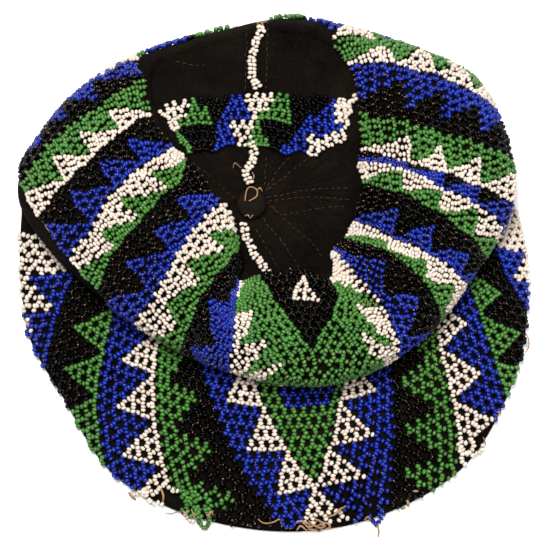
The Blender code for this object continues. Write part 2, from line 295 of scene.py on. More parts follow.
def in_plane(angle, radius):
    """Places in plan at angles in degrees and radii from the turning centre."""
    turn = np.radians(angle)
    return radius * np.cos(turn), radius * np.sin(turn)


def round_cap(angle, radius, height):
    """Points at angles, radii from the turning centre, and heights."""
    return np.stack([*in_plane(angle, radius), height], axis=-1)


def eased(t, first, first_slope, last, last_slope):
    """Cubic from a first value to a last one, with a slope at each: four weights in t times them."""
    return ((1 + 2 * t) * (1 - t) ** 2 * first + t * (1 - t) ** 2 * first_slope
            + t ** 2 * (3 - 2 * t) * last + t ** 2 * (t - 1) * last_slope)


def section_values(angle):
    """Columns of the section table at angles, on a cubic whose slope at each row is the harmonic
    mean of the steps beside it."""
    table = np.array(section_rows, dtype=float)
    place = np.asarray(angle, dtype=float) / (360.0 / len(table))
    low = np.floor(place).astype(int)
    t = place - low
    low = low % len(table)
    high = (low + 1) % len(table)
    values = {}
    for column, name in enumerate(section_columns[1:], start=1):
        v = table[:, column]
        rise = np.roll(v, -1) - v
        fall = np.roll(rise, 1)
        total = np.where(np.abs(rise + fall) > 1e-9, rise + fall, 1.0)
        slope = np.where(rise * fall > 0, 2 * rise * fall / total, 0.0)
        values[name] = eased(t, v[low], slope[low], v[high], slope[high])
    return values


def crown_edge(angle):
    """Radius of the crown's edge: the fold edge less the roll's width."""
    values = section_values(angle)
    return upper_radius * values["fold"] - roll_width * values["roll"]


def crown_surface(angle, share):
    """Height of the crown: a level that climbs with the square of the share, and cosine gathers."""
    level = 1 + (section_values(angle)["crown"] - 1) * share ** 2
    gathers = np.cos(np.radians(angle) * gather_count)
    return crown_height * level + gather_depth * gathers * share ** 2 * (1 - share) * 4


def crease_factor(angle, share):
    """What the creases leave of the roll's rise: one less a bell curve across each crease."""
    left = np.ones_like(share)
    for inner_angle, outer_angle, depth, half_width in crease_rows:
        middle = inner_angle + (outer_angle - inner_angle) * share
        off = (angle - middle + 180) % 360 - 180
        left = left - depth * np.exp(-(off / half_width) ** 2)
    return left


def lower_limits(angle):
    """Radius of the seat, radius of the hem with its spill, and rise of the lower tier."""
    values = section_values(angle)
    fold = upper_radius * values["fold"]
    seat = fold - pleat_depth + pleat_gap / 2 + cloth_wall + seat_width
    fading = spill_steepness * np.abs(angle % 360 - spill_angle) / spill_half_angle
    spill = spill_width * np.clip(spill_steepness - fading, 0.0, 1.0)
    return seat, fold + lower_reach * values["reach"] + spill, billow_height * values["billow"]


def lower_height(radius, seat, hem, billow):
    """Height of the lower tier: a half sine between seat and hem, raised to the fullness."""
    share = np.clip((radius - seat) / (hem - seat), 0.0, 1.0)
    return cloth_wall + billow * np.sin(np.pi * share) ** billow_fullness


def roll_line(angle, turns=roll_turns, curl=12, back=10):
    """Section over the roll: a flattened half turn, a quarter circle at the fold, whose height clears
    the beads of both tiers there, and a straight way back in."""
    values = section_values(angle)
    fold, edge = upper_radius * values["fold"], crown_edge(angle)
    netting = piece_gap + bead_diameter
    beneath = [lower_height(fold + out, *lower_limits(angle))
               for out in (-2 * fold_radius, -fold_radius, 0.0, netting)]
    fold_height = np.max(beneath, axis=0) + 2 * netting + 2 * piece_gap + fold_radius
    edge_height = crown_surface(angle, np.ones_like(fold))
    turn = np.linspace(0, math.pi, turns)[:, None]
    share = (1 - np.cos(turn)) / 2
    base = fold_height + (edge_height - fold_height) * np.sqrt(1 - share * share)
    steep = np.where(turn < math.pi / 2, inner_flank, outer_flank)
    bulge = roll_height * values["rise"] * np.clip(np.sin(turn), 0.0, 1.0) ** steep
    radius = edge + (fold - edge) * share
    height = base + bulge * crease_factor(np.broadcast_to(angle, radius.shape), share)
    quarter = np.linspace(0, math.pi / 2, curl + 1)[1:, None]
    curl_radius = fold - fold_radius * (1 - np.cos(quarter))
    curl_height = fold_height - fold_radius * np.sin(quarter)
    inward = np.linspace(0, 1, back + 1)[1:, None]
    turn_radius = fold - pleat_depth + pleat_gap / 2 + cloth_wall
    back_radius = curl_radius[-1] + (turn_radius - curl_radius[-1]) * inward
    back_height = curl_height[-1] + (cloth_wall + pleat_gap - curl_height[-1]) * inward
    return (np.concatenate([radius, curl_radius, back_radius]),
            np.concatenate([height, curl_height, back_height]))


def crown_wrinkles(x, y):
    """Small dents in the crown cloth: a sum of crossed waves of unequal lengths."""
    waves = (np.sin(x * 310 + 1.3 * np.sin(y * 190)) + np.sin(y * 270 - x * 140 + 0.7)
             + np.sin((x + y) * 420 + 2.1 * np.sin(x * 90)))
    return waves * wrinkle_depth / 3


def crown_folds(x, y):
    """Ridges of the crown cloth: a bell curve of the distance from each fold's line, which fades at
    both its ends."""
    height = np.zeros_like(x)
    for x0, y0, x1, y1, rise, half_width in crown_fold_rows:
        start, end = flat_of_pixels(((x0, y0), (x1, y1)))
        run = end - start
        share = ((x - start[0]) * run[0] + (y - start[1]) * run[1]) / (run ** 2).sum()
        near = np.clip(share, 0.0, 1.0)
        off = np.hypot(x - start[0] - run[0] * near, y - start[1] - run[1] * near)
        fading = np.sin(math.pi * np.clip(share, 0.05, 0.95))
        height = height + rise * np.exp(-(off / half_width) ** 2) * fading
    return height


def cloth_grid():
    """Outer face of the whole cloth as rings of points, from the crown's middle to the hem."""
    angle = np.arange(cloth_columns) * 360.0 / cloth_columns
    turn = np.radians(angle)
    share = np.linspace(0.02, 1.0, crown_rings)[:-1, None]
    radius = crown_edge(angle) * share
    height = crown_surface(np.broadcast_to(angle, radius.shape), np.broadcast_to(share, radius.shape))
    x, y = in_plane(angle, radius)
    height = height + (crown_wrinkles(x, y) + crown_folds(x, y)) * np.clip(share * (1 - share) * 6, 0, 1)
    gathers = np.sin(fine_gather_count * turn + 2.5 * np.sin(5 * turn))
    height = height + fine_gather_depth * gathers * share * (1 - share) * 4
    roll_radius, roll_heights = roll_line(angle, turns=30, curl=3, back=2)
    half_turn = (math.pi / 2 + np.array([0.25, 0.5, 0.75, 1.0]) * math.pi)[:, None]
    pleat_radius = roll_radius[-1] + pleat_gap / 2 * np.cos(half_turn)
    pleat_height = cloth_wall + pleat_gap - pleat_gap / 2 * (1 - np.sin(half_turn)) + 0 * pleat_radius
    seat, hem, billow = lower_limits(angle)
    lower_radius = seat + (hem - seat) * np.linspace(0.0, 1.0, lower_rings)[:, None]
    lower_heights = lower_height(lower_radius, seat, hem, billow)
    radius = np.concatenate([radius, roll_radius, pleat_radius, lower_radius])
    height = np.concatenate([height, roll_heights, pleat_height, lower_heights])
    return round_cap(angle, radius, height)


def grid_faces(rows, columns):
    """Quads of a grid of points that are numbered row by row, joined round the columns."""
    row, column = np.meshgrid(np.arange(rows - 1), np.arange(columns), indexing="ij")
    here = row * columns + column
    beside = row * columns + (column + 1) % columns
    return np.stack([here, here + columns, beside + columns, beside], axis=-1).reshape(-1, 4)


def make_cloth():
    """Wall of cloth: the outer face, and an inner face one thickness behind it along the normals."""
    points = cloth_grid()
    rings, columns = points.shape[:2]
    crown = points[0].copy()
    crown[:, :2] = 0.0
    crown[:, 2] = points[0, :, 2].mean()
    padded = np.concatenate([crown[None], points, points[-1:] * 2 - points[-2:-1]])
    around = np.roll(points, -1, axis=1) - np.roll(points, 1, axis=1)
    normals = unit(np.cross(padded[2:] - padded[:-2], around))
    for ring in (rings - lower_rings - 1, rings - lower_rings, rings - 1):
        normals[ring] = (0.0, 0.0, 1.0)
    inner = points - normals * cloth_wall
    under = rings * columns
    outer_faces = grid_faces(rings, columns)
    column = np.arange(columns)
    beside = (column + 1) % columns
    hem = (rings - 1) * columns
    rim = np.stack([hem + column, hem + column + under, hem + beside + under, hem + beside], axis=-1)
    top = np.stack([np.full(columns, 2 * under), column, beside], axis=-1)
    bottom = np.stack([np.full(columns, 2 * under + 1), beside + under, column + under], axis=-1)
    middle = np.array([crown[0], crown[0] - (0, 0, cloth_wall)])
    vertices = np.concatenate([points.reshape(-1, 3), inner.reshape(-1, 3), middle])
    faces = np.concatenate([outer_faces, outer_faces[:, ::-1] + under, rim])
    triangles = np.concatenate([faces[:, [0, 1, 2]], faces[:, [0, 2, 3]], top, bottom])
    area = np.cross(points[1:, 1:] - points[:-1, :-1], points[1:, :-1] - points[:-1, 1:])
    return vertices, triangles, np.linalg.norm(area, axis=-1).sum() / 2


def cap_piece(name, slot, nodes, points, *rest):
    """A piece from points round the turning centre: it rides on the cap and hides the nodes that it stands
    in for. The slot is not used."""
    points[:, :2] += turning_centre
    item = new_piece(name, points, *rest)
    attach(item, "root")
    if nodes:
        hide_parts(*nodes)
    return item


cotton = Finish("worn_black_cotton", Roughness=0.95, Specular_IOR_Level=0.02)
warp, weft = (cotton.node("ShaderNodeTexWave", {"bands_direction": axis}, outlet=1, Vector=cotton.where,
                          Scale=900.0, Distortion=1.2, Detail=1.0) for axis in "XY")
lint = cotton.noise(1100.0, 3.0, Roughness=0.7)
fading = cotton.noise(38.0, 6.0, Roughness=0.65)
crumple = cotton.noise(120.0, 3.0)
speck = cotton.node("ShaderNodeValToRGB", {"stops": ((0.64, (0, 0, 0, 1)), (0.78, (1, 1, 1, 1)))}, Fac=lint)
wear = cotton.node("ShaderNodeMapRange", Value=fading * 0.6 + lint * 0.4, From_Min=0.38, From_Max=0.62)
worn = cotton.blend(wear, (0.0018, 0.0013, 0.0010), (0.0088, 0.0066, 0.0048))
cotton.feed(Base_Color=cotton.blend(speck * 0.6, worn, (0.030, 0.021, 0.015)))
cotton.raise_by(warp * weft + crumple * 2.0 + lint * 0.8, 0.00035)
cloth_points, cloth_faces, cloth_area = make_cloth()
cloth = cap_piece("cap_cloth_wall", "black_cotton", ["cap_cloth"], cloth_points, cloth_faces, [cotton])

# Upper netting
# Glass beads of size 11/0 on a beige thread, netted in rows from the crown's edge outward over the
# roll: each stitch is an upright pair of beads, and one slanted bead joins it to each of the two
# stitches beneath. Their colours make rows of stepped triangles.
bead_width = 0.00248
bead_length = 0.00172
bead_sides = 8
bead_profile = ((-0.78, 0.0), (-0.86, 0.58), (0.0, 1.0), (0.86, 0.58), (0.78, 0.0))   # along, out
bead_lift = piece_gap + bead_diameter / 2
bead_width_range = (0.93, 1.05)
bead_length_range = (0.88, 1.12)
bead_wander = 0.00016
bead_rise = 0.00018
stitch_slip = 0.05           # of a stitch
pair_half = 0.165            # of a row, from a stitch's middle to each of its two beads
stitch_place = 0.30          # of a row, from the row's start to its stitches
slant_place = 0.80
slant_shift = 0.25           # of a stitch, from a stitch's middle to its slanted beads
slant_lean = 0.13            # of a stitch, from a slanted bead's middle to its end
filled_share = 0.75          # of the wide gaps
crowded_pitch = 0.0028       # closer than this, one straight bead takes the place of two slanted ones
hidden_pitch = 0.0017        # closer still, every second stitch lies hidden beneath
crowded_lift = 0.0006        # by which every second crowded stitch stands out
wall_sink = 0.00035          # by which beads sit deeper on an upright wall
upper_widest = 0.0056        # wider than this, more pairs fill the gaps
row_step = 0.0041
upper_rows = 16
upper_span = 73              # stitches drawn to either side of the front's middle
upper_around = 144           # stitches round one row
upper_halves = (13.0, 14.0)  # stitches from the front's middle to the first boundary left and right
upper_uneven = 0.9
upper_split = (-27, 24)      # places across where the mesh is cut into three pieces
guide_step = 4               # rows
near_angle = 0.3             # degrees to the neighbour from which a normal is found
near_way = 0.0003
bare_least = 0.2             # the section table's bare share that moves the netting's start outward
bare_way = 0.012

# Boundaries between colours in the photograph: the stitch number that each keeps, counted back from
# the first boundary beside the front, and its pixel at every fourth row. In the middle of the front
# each line keeps its place across instead.
upper_middle = (
    (-4, (269, 276), (273, 305), (277, 334), (267, 365), (245, 399)),
    (0, (302, 273), (305, 302), (309, 329), (312, 360), (313, 396)),
    (4, (326, 281), (342, 303), (350, 328), (356, 362), (371, 395)),
)
upper_left = (
    (0, (240, 284), (237, 314), (236, 345), (233, 377), (228, 400)),
    (12, (240, 245), (228, 262), (206, 291), (188, 336), (178, 364)),
    (19, (221, 204.5), (198, 227.4), (177.4, 258.8), (156.8, 296.4), (134, 330)),
    (26, (186, 161.7), (169.3, 194.3), (144.6, 223.8), (118.9, 252.3), (103, 293)),
    (32, (171, 148.7), (144, 166), (116.4, 191.6), (96.2, 226.7), (72.3, 260.3)),
    (37, (150.6, 119), (123.5, 136), (96.5, 160), (68.6, 187.2), (43.9, 221.5)),
    (43, (143, 80), (105, 104.6), (75.7, 125.6), (49.3, 150.1), (23.5, 184.9)),
    (48, (138, 63), (97, 80), (64, 98), (40, 120), (19, 151)),
)
upper_right = (
    (0, (332, 247), (379, 303), (394, 342), (399, 374), (402, 398)),
    (7, (347, 241), (385, 253), (421, 284), (436, 316), (440, 345)),
    (13, (352, 220), (392, 238), (428, 254), (457, 277), (466, 292)),
    (19, (366, 186), (404, 197), (437, 215), (471, 242), (486, 264)),
    (24, (361, 161), (404, 171), (441, 191), (476, 207), (500, 237)),
    (27, (364, 151), (409, 166), (444, 176), (478, 190), (510, 207)),
    (33, (362, 110), (409, 125), (440, 135), (480, 147), (511, 165)),
    (40, (352, 66), (398, 70), (437, 81), (472, 97), (495, 113)),
    (46, (334, 42), (377, 43), (414, 43), (450, 58), (480, 82)),
    (52, (303, 14), (347, 10), (388, 16), (426, 32), (458, 54)),
)

# Over the back the netting runs straight down from the crown's bare cloth: the place across, the
# angle, and the way of its first row
left_back = ((-72.5, 106.0, 0.0165), (-69.5, 118.0, 0.0125), (-66.0, 127.0, 0.0085))
right_back = ((69.5, 450.0, 0.0105), (72.0, 464.0, 0.0165))

white, green, blue, black = range(4)

# White stitches inside the first boundary, row by row
front_teeth_left = (2, 1, 0, 0, 4, 3, 2, 1, 4, 3, 2, 1, 4, 3, 2, 1)
front_teeth_right = (9, 7, 4, 1, 6, 5, 3, 1, 5, 4, 2, 1, 0, 0, 0, 0)

# Colours from the front back along each side: where a pair of colours starts, how many stitches it
# has, its two colours, and by how many stitches the first is wider than its teeth
upper_left_colours = (
    (0, 12, blue, black, 1), (12, 7, green, white, 1), (19, 7, blue, black, 1), (26, 6, green, white, 0),
    (32, 5, blue, black, 0), (37, 6, white, green, 0), (43, 5, black, blue, 0), (48, 2, white, green, 0),
    (50, 5, blue, black, 3), (55, 6, green, white, 3), (61, 30, black, green, 1),
)
upper_right_colours = (
    (0, 7, blue, black, 1), (7, 6, green, white, 0), (13, 6, blue, black, 0), (19, 5, green, white, 0),
    (24, 3, blue, black, 0), (27, 6, white, green, 0), (33, 7, black, blue, 1), (40, 6, white, green, 0),
    (46, 6, white, blue, 0), (52, 30, black, green, 1),
)


def roll_length(radius, height):
    """Way along a section from its first point to each of its points."""
    steps = np.hypot(np.diff(radius, axis=0), np.diff(height, axis=0))
    return np.concatenate([np.zeros((1,) + steps.shape[1:]), np.cumsum(steps, axis=0)])


def along_roll(angle, radius):
    """Way over the roll to a place seen from above: past the fold edge, what is over runs down."""
    line_radius, line_height = roll_line(angle)
    length = roll_length(line_radius, line_height)
    fold = roll_turns - 1
    pick = np.arange(len(angle))
    low = np.clip((line_radius[:fold + 1] <= radius).sum(axis=0) - 1, 0, fold - 1)
    run = line_radius[low + 1, pick] - line_radius[low, pick]
    part = np.clip((radius - line_radius[low, pick]) / np.maximum(run, 1e-9), 0.0, 1.0)
    return (length[low, pick] + (length[low + 1, pick] - length[low, pick]) * part
            + np.maximum(0.0, radius - line_radius[fold]))


def on_roll(angle, way):
    """Points on the roll at angles and ways along its section, and whether it reaches so far."""
    line_radius, line_height = roll_line(angle)
    length = roll_length(line_radius, line_height)
    low = np.clip((length <= way).sum(axis=0) - 1, 0, len(length) - 2)
    pick = np.arange(len(angle))
    part = (way - length[low, pick]) / (length[low + 1, pick] - length[low, pick])
    radius, height = (line[low, pick] + (line[low + 1, pick] - line[low, pick]) * part
                      for line in (line_radius, line_height))
    return round_cap(angle, radius, height), (way >= 0) & (way <= length[-1])


def smooth_through(values, place):
    """Each line of values at places along it: a cubic through its neighbours, straight at both ends."""
    ends = np.concatenate([2 * values[:, :1] - values[:, 1:2], values,
                           2 * values[:, -1:] - values[:, -2:-1]], axis=1)
    low = np.clip(np.floor(place).astype(int), 0, values.shape[1] - 2)
    t = place - low
    p0, p1, p2, p3 = (ends[:, low + k] for k in range(4))
    return (p1 + (p2 - p0) * t / 2 + (p0 - 2.5 * p1 + 2 * p2 - p3 / 2) * t ** 2
            + (1.5 * (p1 - p2) + (p3 - p0) / 2) * t ** 3)


def smooth_across(knots, values, place):
    """Value between guides: a cubic with the weighed mean of its neighbours' slopes, straight beyond."""
    pick = np.arange(len(place))
    knots, values = (np.concatenate([2 * a[:1] - a[1:2], a, 2 * a[-1:] - a[-2:-1]])
                     for a in (knots, values))
    low = np.clip((knots <= place).sum(axis=0) - 1, 1, len(knots) - 3)
    k0, k1, k2, k3 = (knots[low + k, pick] for k in (-1, 0, 1, 2))
    v0, v1, v2, v3 = (values[low + k, pick] for k in (-1, 0, 1, 2))
    before, here, after = (v1 - v0) / (k1 - k0), (v2 - v1) / (k2 - k1), (v3 - v2) / (k3 - k2)
    start = (before * (k2 - k1) + here * (k1 - k0)) / (k2 - k0)
    end = (here * (k3 - k2) + after * (k2 - k1)) / (k3 - k1)
    inside = np.clip(place, k1, k2)
    beyond = np.where(place < k1, start, end) * (place - inside)
    span = k2 - k1
    return eased((inside - k1) / span, v1, start * span, v2, end * span) + beyond


class Netting:
    """A tier's netting: guides that tell where the stitch at a place across and a row lies."""

    def __init__(self, guides, halves, rows, span, uneven, surface):
        """guides are (side, stitch number, angles, ways); side is -1 left, 1 right, or 0 for a guide
        that keeps its place across."""
        self.sides, self.numbers, self.angles, self.ways = (
            np.array(part, dtype=float) for part in zip(*guides))
        self.halves, self.rows, self.span = halves, rows, span
        self.uneven, self.surface = uneven, surface

    def stitches(self):
        """Place across and row of every stitch, half a stitch further in every second row."""
        row, count = np.meshgrid(np.arange(*self.rows), np.arange(-self.span, self.span), indexing="ij")
        row = row.ravel().astype(float)
        return count.ravel() + np.round((0.5 - self.halves[0] + 0.5 * row) % 1.0, 3), row

    def number(self, across, row):
        """Stitch number, counted back from the first boundary on each side."""
        left = -across - self.halves[0] + 0.5 * row
        right = across - self.halves[1] + 0.5 * row
        return np.floor(np.where(across < 0, left, right) + 1e-6)

    def knots(self, row):
        """Place across of every guide at each row: a boundary nears the front by half a stitch a row."""
        half = np.where(self.sides < 0, self.halves[0], self.halves[1])[:, None] - 0.5 * row
        side, number = self.sides[:, None], self.numbers[:, None]
        return np.where(side == 0, number + 0 * row, side * (number + half))

    def place(self, across, row):
        """Angle and way along the section of places in the netting, pulled out of true by waves."""
        pulled = 0.15 * np.sin(1.9 * row + 0.6 * across) + 0.11 * np.sin(0.9 * row - 1.7 * across)
        sagged = 0.08 * np.sin(1.3 * across + 0.8 * row + 2) + 0.07 * np.sin(2.2 * across - 1.1 * row)
        across, row = across + self.uneven * pulled, row + self.uneven * sagged
        knots = self.knots(row)
        return tuple(smooth_across(knots, smooth_through(values, row / guide_step), across)
                     for values in (self.angles, self.ways))

    def point(self, across, row):
        """Point on the cloth, the outward normal there, and whether the cloth reaches so far."""
        angle, way = self.place(across, row)
        here, real = self.surface(angle, way)
        beside = self.surface(angle + near_angle, way)[0] - here
        further = self.surface(angle, way + near_way)[0] - here
        return here, unit(np.cross(further, beside)), real


def turn_and_reach(flat):
    """Angles and radii of places in plan."""
    return np.degrees(np.arctan2(flat[..., 1], flat[..., 0])), np.hypot(flat[..., 0], flat[..., 1])


def back_guides(rows):
    """Guides over the back: one angle each, and ways that grow by a row's step."""
    return [(0, across, [angle] * 5, [start + row_step * guide_step * row for row in range(5)])
            for across, angle, start in rows]


def tier_guides(middle, left, right, way_of=None):
    """Guides of one tier in order from left to right, from the pixel tables; a way is the radius
    itself where there is no other rule."""
    rows = [(-1, number, places) for number, *places in reversed(left)]
    rows += [(0, across, places) for across, *places in middle]
    rows += [(1, number, places) for number, *places in right]
    guides = []
    for side, number, places in rows:
        angle, radius = turn_and_reach(flat_of_pixels(places))
        angle = angle % 360.0
        if side >= 0:
            angle = np.where(angle < 90, angle + 360, angle)
        guides.append((side, number, angle, way_of(angle, radius) if way_of else radius))
    return guides


def tier_colours(number, row, across, left_table, right_table):
    """Colours by stitch number: the first colour of each pair widens by one a row, in fours."""
    colours = np.full(number.shape, black)
    for here, table in ((across < 0, left_table), (across >= 0, right_table)):
        for start, count, first, second, extra in table:
            tooth = number - start < extra + 1 + row % 4
            inside = here & (number >= start) & (number < start + count)
            colours = np.where(inside, np.where(tooth, first, second), colours)
    return colours


def upper_colour(across, row):
    """Colour of the upper netting's stitches."""
    number = upper_net.number(across, row)
    colours = tier_colours(number, row, across, upper_left_colours, upper_right_colours)
    # Left of the flap the blue teeth widen by two a row
    wide_teeth = (across < 0) & (number >= 0) & (number < 4 + 2 * (row % 4)) & (row >= 4)
    colours = np.where(wide_teeth, blue, colours)
    # At the right back a white band narrows over blue and green
    back = (across > 0) & (number >= 46) & (number < 52)
    behind = np.where((row < 3) | (row == 5), blue, green)
    band = (number < 46.9 + 0.75 * row) & (row < 4)
    colours = np.where(back, np.where(band, white, behind), colours)
    # The front flap is green, with white teeth at its sides and a black and white point on top
    front = number < 0
    colours = np.where(front, green, colours)
    step = row.astype(int)
    teeth = np.where(across < 0, np.array(front_teeth_left)[step], np.array(front_teeth_right)[step])
    colours = np.where(front & (number >= -teeth), white, colours)
    colours = np.where(front & (row >= 15) & (across < -1) & (number > -10), white, colours)
    colours = np.where(np.abs(across) < 4.75 - 0.5 * row, black, colours)
    return np.where((row < 4) & (np.abs(across) < 0.5 * (row + 1)), white, colours)


def keep_upper(across, row, _):
    """All beads that the roll's cloth carries, once round the cap."""
    angle, way = upper_net.place(across, row)
    bare = section_values(angle)["bare"]
    start = np.where(bare > bare_least, bare_way * bare, 0.0)
    return (way > start) & (across >= -upper_around / 2 - 0.5) & (across < upper_around / 2 - 0.5)


def joined(parts):
    """The first arrays of all parts end to end, then the second ones, and so on."""
    return [np.concatenate(part) for part in zip(*parts)]


def netted_beads(net, colour_of, keep, widest, seed):
    """Every bead of a netting: its middle, the ways along its hole and out, its colour and its place
    across. Rows of the table are shift, slant, half of the pair, place in the row, and which stitches
    have the bead."""
    random = np.random.default_rng(seed)
    across, row = net.stitches()
    colour = colour_of(across, row)
    pitch = np.linalg.norm(net.point(across + 0.5, row)[0] - net.point(across - 0.5, row)[0], axis=-1)
    odd = np.round(across + 0.5 * row) % 2 == 1
    crowded = pitch < crowded_pitch
    shown = ~((pitch < hidden_pitch) & odd)
    wide = (pitch > widest) & (random.uniform(0, 1, len(across)) < filled_share)
    slip, tilt = random.normal(0, stitch_slip, (2, len(across))) * net.uneven
    over, under = stitch_place - pair_half, stitch_place + pair_half
    beads = []
    for move, slope, half, place, wanted in (
            (0.0, 0.0, -1.0, over, shown), (0.0, 0.0, 1.0, under, shown),
            (-slant_shift, -slant_lean, 0.0, slant_place, ~crowded),
            (slant_shift, slant_lean, 0.0, slant_place, ~crowded),
            (0.0, 0.0, 0.0, slant_place, crowded & shown),
            (0.5, 0.0, -1.0, over, wide), (0.5, 0.0, 1.0, under, wide)):
        shift = move + slip + half * tilt
        lean = slope + np.abs(half) * tilt
        low, low_normal, low_real = net.point(across + shift - lean, row + place - pair_half)
        high, high_normal, high_real = net.point(across + shift + lean, row + place + pair_half)
        normal = unit(low_normal + high_normal)
        middle = (low + high) / 2 + random.normal(0, bead_wander, low.shape)
        upward = np.clip(normal[:, 2], 0.0, 1.0)
        lift = bead_lift - wall_sink * (1 - upward)
        lift += (np.abs(random.normal(0, bead_rise, len(low))) + crowded_lift * (crowded & odd)) * upward
        along = unit(high - low + random.normal(0, bead_wander, low.shape))
        chosen = low_real & high_real & wanted & keep(across + shift, row + place, low)
        middle += normal * lift[:, None]
        beads.append([part[chosen] for part in (middle, along, normal, colour, across)])
    return joined(beads)


def shells(middle, along, normal, profile, sides, width, length):
    """Turned shells: a profile of (along, out) shares with a pole at each end, carried to each place."""
    profile = np.array(profile, dtype=float)
    normal = unit(normal - along * (normal * along).sum(axis=-1, keepdims=True))
    side = np.cross(along, normal)
    turn = np.arange(sides) * 2 * math.pi / sides
    out = normal[:, None, None] * np.cos(turn)[:, None] + side[:, None, None] * np.sin(turn)[:, None]
    ends = along[:, None] * (profile[:, 0] * length[:, None])[..., None]
    rings = ends[:, 1:-1, None] + out * (profile[1:-1, 1] * width[:, None])[..., None, None]
    local = np.concatenate([rings.reshape(len(middle), -1, 3), ends[:, [0, -1]]], axis=1)
    points = (local + middle[:, None]).reshape(-1, 3)
    count = len(profile) - 2
    quads = grid_faces(count, sides)
    ring = np.arange(sides)
    beside = (ring + 1) % sides
    foot, head = count * sides, count * sides + 1
    top = (count - 1) * sides
    faces = np.concatenate([quads[:, [0, 2, 1]], quads[:, [0, 3, 2]],
                            np.stack([np.full(sides, foot), beside, ring], axis=-1),
                            np.stack([np.full(sides, head), ring + top, beside + top], axis=-1)])
    faces = (faces[None] + np.arange(len(middle))[:, None, None] * (count * sides + 2)).reshape(-1, 3)
    return points, faces


def bead_finish(name, dark, light, shine, roughness):
    """Opaque pressed glass: each bead has its own shade, with a slightly uneven gloss and small pits."""
    finish = Finish(name, IOR=1.5, Specular_IOR_Level=shine, Coat_Roughness=0.08)
    shade = finish.node("ShaderNodeAttribute", {"attribute_name": "bead_shade"}, outlet=2)
    cloud = finish.noise(700.0, 2.0)
    finish.feed(Base_Color=finish.blend(shade * 0.75 + cloud * 0.25, dark, light),
                Roughness=roughness + cloud * 0.16, Coat_Weight=shade * 0.1)
    finish.raise_by(finish.noise(2600.0, 1.0), 0.00006)
    return finish


bead_finishes = [
    bead_finish("cream_glass", (0.375, 0.305, 0.250), (0.535, 0.460, 0.390), 0.28, 0.38),
    bead_finish("green_glass", (0.012, 0.066, 0.006), (0.043, 0.146, 0.020), 0.34, 0.26),
    bead_finish("blue_glass", (0.0012, 0.004, 0.085), (0.004, 0.018, 0.225), 0.20, 0.22),
    bead_finish("black_glass", (0.0003, 0.0002, 0.0002), (0.0010, 0.0008, 0.0006), 0.07, 0.00),
]


def bead_piece(name, beads, slot, seed, nodes=(), size=1.0):
    """One mesh of loose beads, no two quite the same size or shade, with its finishes by colour."""
    middle, along, normal, colour = beads[:4]
    random = np.random.default_rng(seed)
    width = size * bead_width / 2 * random.uniform(*bead_width_range, len(middle))
    length = size * bead_length / 2 * random.uniform(*bead_length_range, len(middle))
    points, faces = shells(middle, along, normal, bead_profile, bead_sides, width, length)
    item = cap_piece(name, slot, nodes, points, faces, bead_finishes,
                     np.repeat(colour, len(faces) // len(middle)))
    shade = np.repeat(random.uniform(0, 1, len(middle)), len(points) // len(middle))
    layer = item.data.attributes.new("bead_shade", "FLOAT", "POINT")
    layer.data.foreach_set("value", shade.astype(np.float32))


upper_guides = tier_guides(upper_middle, upper_left, upper_right, along_roll)
upper_net = Netting(back_guides(left_back) + upper_guides + back_guides(right_back), upper_halves,
                    (0, upper_rows), upper_span, upper_uneven, on_roll)
upper_beads = netted_beads(upper_net, upper_colour, keep_upper, upper_widest, 11)
left_part = upper_beads[4] < upper_split[0]
right_part = upper_beads[4] > upper_split[1]
for name, chosen in (("upper_net_left", left_part), ("upper_net_front", ~left_part & ~right_part),
                     ("upper_net_right", right_part)):
    bead_piece(name, [part[chosen] for part in upper_beads], "upper_net_beads", 21, ["net_upper"])

# Lower netting
# The same netting, of slightly larger beads, goes on over the lower tier to the hem in wider teeth.
# It has come apart and is lost in spots along the hem.
lower_rows = (-8, 17)        # the roll hides the first ones, except at the far left and right
lower_span = 46
lower_halves = (5.7, 5.3)
lower_uneven = 0.4
lower_widest = 1.0           # none is so wide
lower_bead_size = 1.08
seat_clearance = 0.004
hem_overhang = 0.0005        # by which beads may pass the hem
front_shortfall = 0.0025     # less of it in front
shortfall_angle = 270.0
shortfall_half_angle = 11.0
bare_rows = (                # lost spots: x, y, half width and half height in pixels, colours
    (165, 504, 19, 14, (white, green, blue)),
    (482, 437, 15, 16, (blue,)),
    (322, 526, 26, 4, (blue, white, black)),
    (18, 214, 40, 20, (white, blue)),
)
lower_middle = ((0, (305, 365), (305, 408), (310, 450), (318, 487), (322, 525)),)
lower_left = (
    (6, (198, 352), (213, 399), (233, 449), (262, 497), (292, 540)),
    (13, (163, 332), (157, 376), (160, 424), (170, 470), (185, 512)),
    (19, (117, 312), (107, 355), (101, 399), (106, 448), (118, 490)),
    (25, (76, 275), (62, 316), (52, 357), (45, 398), (43, 438)),
    (31, (45, 235), (20, 262), (0, 295), (-15, 330), (-28, 368)),
)
lower_right = (
    (6, (388, 340), (391, 385), (393, 430), (388, 472), (385, 515)),
    (12, (428, 300), (438, 352), (449, 402), (455, 452), (458, 500)),
    (18, (462, 270), (478, 316), (492, 364), (505, 406), (515, 445)),
    (24, (493, 250), (508, 285), (528, 320), (540, 355), (552, 392)),
    (30, (505, 215), (528, 242), (552, 270), (575, 298), (597, 327)),
)
lower_left_colours = (
    (0, 6, white, blue, 0), (6, 7, black, green, 1), (13, 6, white, blue, 0), (19, 6, green, black, 0),
    (25, 12, blue, white, 0),
)
lower_right_colours = (
    (0, 6, white, blue, 0), (6, 6, black, green, 0), (12, 6, white, blue, 0), (18, 6, green, black, 0),
    (24, 12, blue, white, 0),
)


